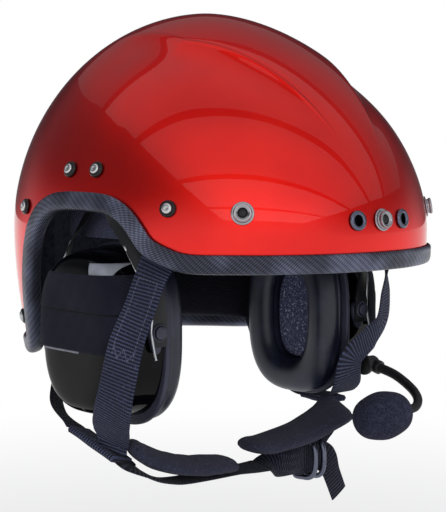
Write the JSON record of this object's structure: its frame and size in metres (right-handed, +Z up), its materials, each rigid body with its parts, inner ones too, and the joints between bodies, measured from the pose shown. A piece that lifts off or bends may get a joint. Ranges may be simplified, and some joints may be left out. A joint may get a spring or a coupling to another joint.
{
  "type": "open-face crew helmet",
  "caption": "Open-face hard-shell helmet with edge trim, sprung ear cups on forked yokes, a boom microphone with foam windscreen, and a padded double-ring chin strap.",
  "frame": {"origin": "on the head's axis, midway between the ear cups, level with the lower edge of the brow trim", "axes": "+Z up towards the crown; -Y the way the wearer faces; +X the wearer's left, the microphone side"},
  "size_m": [0.246, 0.2872, 0.3205],
  "materials": {
    "candy_shell": "candy red lacquer under a deep clear coat",
    "woven_trim": "blue-black moulding with a fine diagonal weave",
    "impact_foam": "matt black foam",
    "lining_cloth": "dark padded cloth with sewn seams",
    "screw_steel": "blackened cup washer with a bright screw head",
    "stud_nickel": "bright nickel snap with a dark socket",
    "grommet_steel": "gunmetal",
    "webbing": "ribbed navy-black webbing",
    "ring_steel": "blackened wire",
    "carrier_steel": "blackened plate",
    "yoke_black": "matt black",
    "cup_gloss": "gloss black",
    "fitting_black": "satin dark grey",
    "leatherette": "smooth dark leatherette",
    "speckled_foam": "dark foam with pale flecks",
    "speaker_can": "matt black",
    "band_cloth": "matt stretch cloth with one seam",
    "boom_black": "satin black",
    "windscreen_foam": "open foam"
  },
  "bodies": {
    "shell_body": {"shell": "candy_shell", "edge_trim": "woven_trim", "impact_liner": "impact_foam", "crown_pad": "lining_cloth", "brow_pad": "lining_cloth", "side_liner_right": "lining_cloth", "side_liner_left": "lining_cloth", "neck_roll": "lining_cloth", "carrier_screw_rear_right": "screw_steel", "carrier_screw_front_right": "screw_steel", "strap_screw_front_right": "screw_steel", "strap_screw_rear_right": "screw_steel", "nape_screw_right": "screw_steel", "carrier_screw_rear_left": "screw_steel", "carrier_screw_front_left": "screw_steel", "strap_screw_front_left": "screw_steel", "strap_screw_rear_left": "screw_steel", "nape_screw_left": "screw_steel", "visor_stud_right": "stud_nickel", "visor_stud_left": "stud_nickel", "visor_stud_centre": "stud_nickel", "grommet_right": "grommet_steel", "grommet_left": "grommet_steel", "cup_carrier_right": "carrier_steel", "cup_carrier_left": "carrier_steel", "front_strap_right": "webbing", "front_strap_left": "webbing", "rear_strap_right": "webbing", "rear_strap_left": "webbing", "strap_junction_right": "webbing", "strap_junction_left": "webbing", "chin_strap": "webbing", "ring_strap": "webbing", "strap_gather": "webbing", "chin_pad_right": "lining_cloth", "chin_pad_left": "lining_cloth"},
    "yoke_right_body": {"yoke_right": "yoke_black"},
    "cup_right_body": {"cup_shell_right": "cup_gloss", "backplate_right": "fitting_black", "ear_cushion_right": "leatherette", "foam_insert_right": "speckled_foam", "speaker_right": "speaker_can", "cup_band_right": "band_cloth", "pivot_front_right": "fitting_black", "pivot_rear_right": "fitting_black"},
    "yoke_left_body": {"yoke_left": "yoke_black"},
    "cup_left_body": {"cup_shell_left": "cup_gloss", "backplate_left": "fitting_black", "ear_cushion_left": "leatherette", "foam_insert_left": "speckled_foam", "speaker_left": "speaker_can", "cup_band_left": "band_cloth", "pivot_front_left": "fitting_black", "pivot_rear_left": "fitting_black", "boom_base": "boom_black"},
    "boom_body": {"mic_boom": "boom_black", "microphone": "boom_black", "windscreen": "windscreen_foam"},
    "ring_inner_body": {"d_ring_inner": "ring_steel"},
    "ring_outer_body": {"d_ring_outer": "ring_steel"}
  },
  "joints": [
    {"name": "swing_right", "type": "hinge", "parent": "shell_body", "child": "yoke_right_body", "pos_m": [-0.104, -0.012, 0.0475], "axis": [0, 1, 0], "range_deg": [0, 2.7], "stiffness_Nm_per_rad": 1, "springref_deg": -11.46},
    {"name": "tilt_right", "type": "hinge", "parent": "yoke_right_body", "child": "cup_right_body", "pos_m": [-0.0885, -0.0036, -0.037], "axis": [0, 1, 0], "range_deg": [-4, 1.5]},
    {"name": "swing_left", "type": "hinge", "parent": "shell_body", "child": "yoke_left_body", "pos_m": [0.104, -0.012, 0.0475], "axis": [0, -1, 0], "range_deg": [0, 2.7], "stiffness_Nm_per_rad": 1, "springref_deg": -11.46},
    {"name": "tilt_left", "type": "hinge", "parent": "yoke_left_body", "child": "cup_left_body", "pos_m": [0.0885, -0.0036, -0.037], "axis": [0, -1, 0], "range_deg": [-4, 1.5]},
    {"name": "boom_swing", "type": "hinge", "parent": "cup_left_body", "child": "boom_body", "pos_m": [0.1033, -0.0455, -0.076], "axis": [-1, 0, 0], "range_deg": [0, 60]},
    {"name": "ring_inner_turn", "type": "hinge", "parent": "shell_body", "child": "ring_inner_body", "pos_m": [0.0425, -0.033, -0.133], "axis": [0, 0, 1], "range_deg": [-15, 8]},
    {"name": "ring_outer_turn", "type": "hinge", "parent": "shell_body", "child": "ring_outer_body", "pos_m": [0.0505, -0.033, -0.133], "axis": [0, 0, 1], "range_deg": [-15, 8]}
  ],
  "couplings": [
    {"joint": "ring_outer_turn", "follows": "ring_inner_turn", "ratio": 1}
  ]
}
